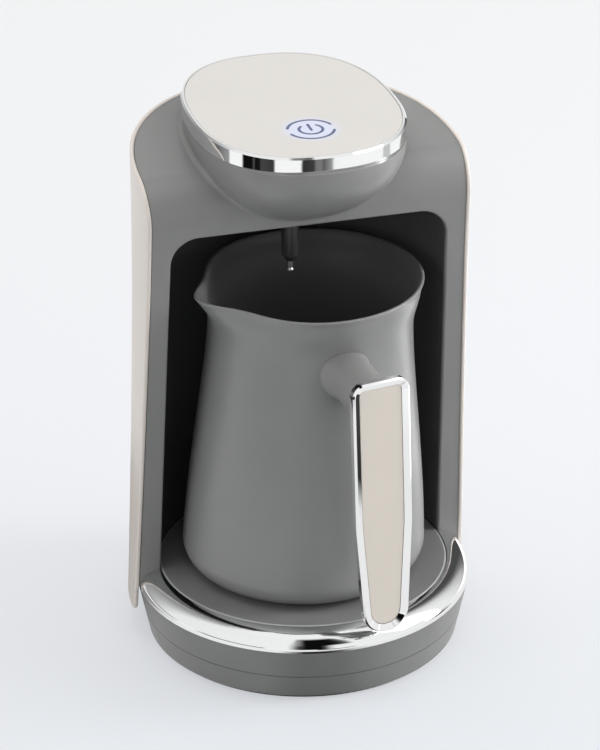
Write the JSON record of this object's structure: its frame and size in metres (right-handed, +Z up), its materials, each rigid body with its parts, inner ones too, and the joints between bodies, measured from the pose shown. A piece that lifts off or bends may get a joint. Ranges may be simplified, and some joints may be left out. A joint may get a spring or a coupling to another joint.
{
  "type": "electric turkish coffee maker",
  "caption": "Round heated base with a half-round tower and a flat-topped control head over a lipped jug with a long strap handle that draws out to the front.",
  "frame": {"origin": "centre of the round base in the plane of the table it stands on", "axes": "+Z up, the front with the jug's handle faces -Y, +X is to the right seen from the front"},
  "size_m": [0.1612, 0.1736, 0.2574],
  "materials": {
    "gray_plastic": "satin",
    "black_plastic": "satin",
    "cream_plastic": "gloss",
    "chrome_trim": "mirror",
    "plate_metal": "brushed",
    "jug_coating": "satin",
    "black_rubber": "matt",
    "cast_aluminium": "cast",
    "steel": "plain",
    "heater_steel": "oxidised",
    "circuit_board": "satin",
    "component_plastic": "satin",
    "terminal_plastic": "satin",
    "light_guide": "diffuse",
    "lamp": "gloss",
    "wire_sleeve": "braided"
  },
  "bodies": {
    "machine": {"foot_ring": "black_rubber", "bottom_cover": "gray_plastic", "chrome_base_trim": "chrome_trim", "base_housing": "gray_plastic", "heating_plate": "plate_metal", "plate_seal": "black_rubber", "heat_spreader": "cast_aluminium", "heating_element": "heater_steel", "heater_clamp": "steel", "clamp_screws": "steel", "thermostat": "component_plastic", "thermal_fuse": "steel", "plate_clips": "steel", "plate_screws": "steel", "power_board": "circuit_board", "power_components": "component_plastic", "terminal_block": "terminal_plastic", "cord_gland": "black_rubber", "base_screws": "steel", "tower_screws": "steel", "rear_shell": "cream_plastic", "front_cover": "gray_plastic", "cavity_liner": "black_plastic", "head_chrome_ring": "chrome_trim", "head_top_panel": "cream_plastic", "touch_board": "circuit_board", "panel_screws": "steel", "icon_light_guide": "light_guide", "status_leds": "lamp", "buzzer": "component_plastic", "control_components": "component_plastic", "probe_body": "black_plastic", "probe_tip": "steel", "probe_nut": "steel", "wiring_loom": "wire_sleeve"},
    "jug": {"jug_body": "jug_coating", "handle_core": "gray_plastic", "handle_bezel": "chrome_trim", "handle_insert": "cream_plastic", "handle_screw": "steel"}
  },
  "joints": [
    {"name": "jug_slide", "type": "slide", "parent": "machine", "child": "jug", "axis": [0, -1, 0], "range_m": [0, 0.15]}
  ]
}
